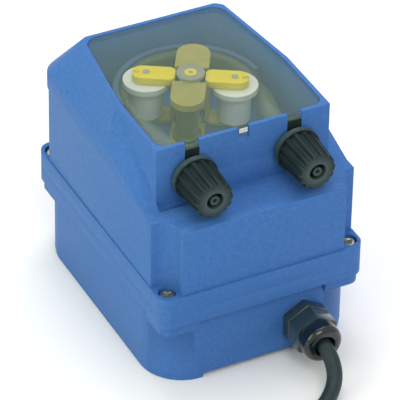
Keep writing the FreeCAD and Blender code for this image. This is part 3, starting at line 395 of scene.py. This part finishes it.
# ---------------------------------------------------------------- supply cable
@dataclass
class SupplyCable:
    """The cable from the gland to its stripped end, coiled past the pump.

    Sizes are in millimetres and angles in degrees.
    """

    diameter: float = 7.0
    route: tuple[Place, ...] = (
        (21.0, -75.0, 16.0), (21.0, -85.5, 16.0), (21.0, -92.5, 7.0), (13.5, -100.5, 3.5),
        (3.0, -108.0, 3.5), (-9.5, -114.3, 3.5), (-22.8, -118.9, 3.5), (-35.6, -122.6, 3.5))
    tail: tuple[Place, ...] = (
        (-6.0, -201.0, 10.5), (10.0, -192.5, 8.0), (22.0, -180.0, 4.0), (29.0, -165.5, 3.5))
    coil_centre: tuple = (-24.0, -163.0)
    outer_radius: float = 42.0
    inner_radius: float = 35.0
    low: float = 3.5
    high: float = 10.5
    start_angle: float = 106.0
    end_angle: float = 1375.3
    points_in_coil: int = 85
    shift_starts: tuple = (408.0, 352.0 + 360.0, 296.0 + 720.0)
    shift_angle: float = 56.0

    def coil_place(self, angle: float) -> tuple[float, float]:
        """Radius and height of the coiled cable after it has wound to an angle.

        Each change of layer starts at its own place, so that no two passes cross.

        Args:
            angle: the angle wound so far, in degrees.

        Returns:
            Radius and height, in millimetres.
        """
        places = ((self.outer_radius, self.low), (self.inner_radius, self.low),
                  (self.inner_radius, self.high), (self.outer_radius, self.high))
        for index, start in enumerate(self.shift_starts):
            if angle < start:
                return places[index]
            if angle < start + self.shift_angle:
                share = (angle - start) / self.shift_angle
                share = share * share * (3.0 - 2.0 * share)
                before, after = places[index], places[index + 1]
                return (before[0] + (after[0] - before[0]) * share,
                        before[1] + (after[1] - before[1]) * share)
        return places[-1]

    def points(self) -> list[tuple[float, float, float]]:
        """Control points of the whole cable.

        Returns:
            The points, in millimetres.
        """
        step = (self.end_angle - self.start_angle) / self.points_in_coil
        coil = []
        for i in range(1, self.points_in_coil):
            angle = self.start_angle + step * i
            radius, height = self.coil_place(angle)
            turn = math.radians(angle)
            coil.append((self.coil_centre[0] + radius * math.cos(turn),
                         self.coil_centre[1] + radius * math.sin(turn), height))
        return [*self.route, *coil, *self.tail]

    def build(self) -> bpy.types.Object:
        """Returns:
            The cable.
        """
        points = self.points()
        curve = bpy.data.curves.new("supply_cable", "CURVE")
        curve.dimensions = "3D"
        curve.resolution_u = 6
        curve.bevel_depth = self.diameter / 2 * MM
        curve.bevel_resolution = 5
        curve.use_fill_caps = True
        spline = curve.splines.new("NURBS")
        spline.points.add(len(points) - 1)
        for point, place in zip(spline.points, points):
            point.co = (*(c * MM for c in place), 1.0)
        spline.order_u = 3
        spline.use_endpoint_u = True
        cable = bpy.data.objects.new("supply_cable", curve)
        bpy.context.scene.collection.objects.link(cable)
        dress(cable, SHEATH)
        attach(cable, "case")
        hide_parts("power_cable", "cable_coil", "cable_tail")
        log.info("supply_cable: %d points", len(points))
        return cable


# ---------------------------------------------------------------- studio
@dataclass
class Studio:
    """Floor, lights and camera. Lengths in metres."""

    camera_place: Place = (-0.58336, -1.13581, 0.98417)
    view: Place = (0.3715, 0.7173, -0.5895)
    azimuth: float = -27.38
    roll: float = 1.19
    lens: float = 323.48
    shift: tuple = (-0.02075, -0.02538)
    floor_size: float = 8.0
    floor_height: float = -0.0002
    floor_grey: float = 0.92
    aim: Place = (0.0, 0.0, 0.06)

    def camera(self) -> None:
        """Make the camera. Its azimuth and roll are in degrees, its lens in millimetres."""
        data = bpy.data.cameras.new("camera")
        data.lens = self.lens
        data.sensor_width = 36.0
        data.shift_x, data.shift_y = self.shift
        data.clip_start = 0.05
        data.clip_end = 50.0
        camera = bpy.data.objects.new("camera", data)
        bpy.context.scene.collection.objects.link(camera)
        forward = Vector(self.view).normalized()
        turn = math.radians(self.azimuth)
        right = Vector((math.cos(turn), math.sin(turn), 0.0))
        right = (right - forward * right.dot(forward)).normalized()
        up = right.cross(forward)
        roll = math.radians(self.roll)
        x = right * math.cos(roll) + up * math.sin(roll)
        y = up * math.cos(roll) - right * math.sin(roll)
        matrix = Matrix((x, y, -forward)).transposed().to_4x4()
        matrix.translation = Vector(self.camera_place)
        camera.matrix_world = matrix
        bpy.context.scene.camera = camera

    def floor(self) -> None:
        """Make the pale floor."""
        mesh = bmesh.new()
        bmesh.ops.create_grid(mesh, x_segments=1, y_segments=1, size=self.floor_size / 2)
        bmesh.ops.translate(mesh, vec=(0, 0, self.floor_height), verts=mesh.verts)
        data = bpy.data.meshes.new("floor")
        mesh.to_mesh(data)
        mesh.free()
        floor = bpy.data.objects.new("floor", data)
        bpy.context.scene.collection.objects.link(floor)
        material = bpy.data.materials.new("pale_floor")
        material.use_nodes = True
        shader = material.node_tree.nodes["Principled BSDF"]
        shader.inputs["Base Color"].default_value = (*[self.floor_grey] * 3, 1.0)
        shader.inputs["Roughness"].default_value = 0.9
        data.materials.append(material)

    def light(self, name: str, place: Place, size: float, power: float, colour: Colour) -> None:
        """Make one soft area light that points at the pump.

        Args:
            name: the light's name.
            place: where it hangs.
            size: its side.
            power: in watts.
            colour: its colour.
        """
        data = bpy.data.lights.new(name, "AREA")
        data.size = size
        data.energy = power
        data.color = colour
        lamp = bpy.data.objects.new(name, data)
        bpy.context.scene.collection.objects.link(lamp)
        lamp.location = place
        lamp.rotation_mode = "QUATERNION"
        towards = Vector(self.aim) - Vector(place)
        lamp.rotation_quaternion = towards.to_track_quat("-Z", "Y")

    def world(self, strength: float) -> None:
        """Even white surroundings.

        Args:
            strength: how bright they are.
        """
        world = bpy.data.worlds.new("studio")
        world.use_nodes = True
        background = world.node_tree.nodes["Background"]
        background.inputs["Color"].default_value = (1.0, 1.0, 1.0, 1.0)
        background.inputs["Strength"].default_value = strength
        bpy.context.scene.world = world

    def build(self) -> None:
        """Make everything."""
        self.camera()
        self.floor()
        self.world(0.70)
        self.light("key", (-0.2, -1.2, 1.4), 0.8, 9.0, (1.0, 0.99, 0.98))
        self.light("left", (-1.4, -0.1, 0.8), 0.9, 6.5, (0.88, 1.0, 0.66))
        self.light("top", (0.2, 0.5, 1.5), 1.0, 10.0, (1.0, 1.0, 1.0))
        bpy.context.scene.view_settings.view_transform = "Standard"


# ---------------------------------------------------------------- pump
@dataclass
class Case:
    """The two case halves, the gasket and the screws. Radii in millimetres."""

    edge_round: float = 0.8
    screw_round: float = 0.12
    screw_place: tuple = (43.6, 57.6)
    screw_room: float = 4.6
    cavity: tuple = (45.9, 60.4, 80.6)

    def build(self) -> None:
        """Round the case's edges, give them a painted highlight, and dress what goes with it."""
        for node in ("rear_case", "front_case"):
            rounded_copy(node, f"{node}_shell", self.edge_round * MM, wanted=self.outside,
                         edge_highlight=CASE_EDGE_HIGHLIGHT)
        rounded_copy("case_screws", "case_screw_heads", self.screw_round * MM, segments=1)
        dress_nodes(["case_gasket"])

    def outside(self, edge: bmesh.types.BMEdge) -> bool:
        """Whether an edge is a convex outer edge, away from the screw holes.

        Args:
            edge: the edge.

        Returns:
            True if it should be rounded.
        """
        middle = (edge.verts[0].co + edge.verts[1].co) / (2 * MM)
        x, y, z = abs(middle.x), abs(middle.y), middle.z
        at_screw = math.hypot(x - self.screw_place[0], y - self.screw_place[1]) < self.screw_room
        within = x < self.cavity[0] and y < self.cavity[1] and z < self.cavity[2]
        return edge.is_convex and not at_screw and not within


@dataclass
class Electrics:
    """Everything inside the case, and the cable gland. Radii in millimetres."""

    inner: tuple = ("gearbox_housing", "gearbox_plate", "gearbox_screws", "gear_pins",
                    "first_gear", "second_gear", "output_gear", "motor_pinion", "motor_can",
                    "motor_bearings", "motor_coil", "motor_rotor", "circuit_board",
                    "board_screws", "terminal_block", "capacitor", "gland_locknut")
    on_cable: tuple = ("gland_seal", "inner_lead", "core_brown", "core_earth", "core_blue",
                       "core_ferrules")
    gland_round: float = 0.5
    tie_round: float = 0.3

    def build(self) -> list[bpy.types.Object]:
        """Dress the inner parts and round the gland's.

        Returns:
            The pieces that sit on the cable.
        """
        dress_nodes([*self.inner, *self.on_cable])
        body = rounded_copy("gland_body", "gland_hexagon", self.gland_round * MM)
        cap = rounded_copy("gland_cap", "gland_dome", self.gland_round * MM)
        tie = rounded_copy("cable_tie", "coil_tie", self.tie_round * MM)
        return [body, cap, tie, *[frame["nodes"][node] for node in self.on_cable]]


@dataclass
class PumpHead:
    """Rotor, rollers, tube, raceway, fittings and the clear cover. Sizes in millimetres.

    The latch pad's sizes are its half width, its two y values and its two z values.
    """

    plain: tuple = ("tube_raceway", "squeeze_tube", "rotor_carrier", "roller_pin_left",
                    "roller_pin_right", "pressure_roller_left", "pressure_roller_right",
                    "guide_roller_front", "guide_roller_back", "guide_pins", "arm_springs",
                    "hub_cap", "shaft_nut", "drive_shaft", "shaft_bush", "inlet_connector",
                    "outlet_connector", "inlet_nut", "outlet_nut")
    latch: tuple = (2.0, -40.55, -40.3, 109.0, 111.2)
    arm_middle: float = 96.0
    arm_round: float = 0.35
    window_round: float = 0.4

    def latch_pad(self) -> bpy.types.Object:
        """The white pad on the front of the cover's latch tongue.

        Returns:
            The pad.
        """
        half, y0, y1, z0, z1 = self.latch
        mesh = bmesh.new()
        bmesh.ops.create_cube(mesh, size=1.0)
        bmesh.ops.scale(mesh, vec=(2 * half * MM, (y1 - y0) * MM, (z1 - z0) * MM),
                        verts=mesh.verts)
        bmesh.ops.translate(mesh, vec=(0, (y0 + y1) / 2 * MM, (z0 + z1) / 2 * MM),
                            verts=mesh.verts)
        return finish_mesh("latch_pad", mesh, LATCH_WHITE, "cover")

    def arm(self, side: str) -> None:
        """A roller arm with a yellow upper bar and a pale lower bar.

        Args:
            side: left or right.
        """
        piece = rounded_copy(f"roller_arm_{side}", f"arm_{side}_look", self.arm_round * MM)
        piece.data.materials.append(AMBER.material())
        for face in piece.data.polygons:
            if face.center.z < self.arm_middle * MM:
                face.material_index = 1

    def build(self) -> None:
        """Dress the pump head, and round the arms and the cover."""
        dress_nodes(self.plain)
        for side in ("left", "right"):
            self.arm(side)
        rounded_copy("pump_cover", "clear_window", self.window_round * MM)
        self.latch_pad()


def main() -> None:
    """Build the studio, the cable and the pump."""
    Studio().build()
    cable = SupplyCable()
    cord = cable.build()
    pieces = Electrics().build()
    Case().build()
    PumpHead().build()


if __name__ == "__main__":
    main()
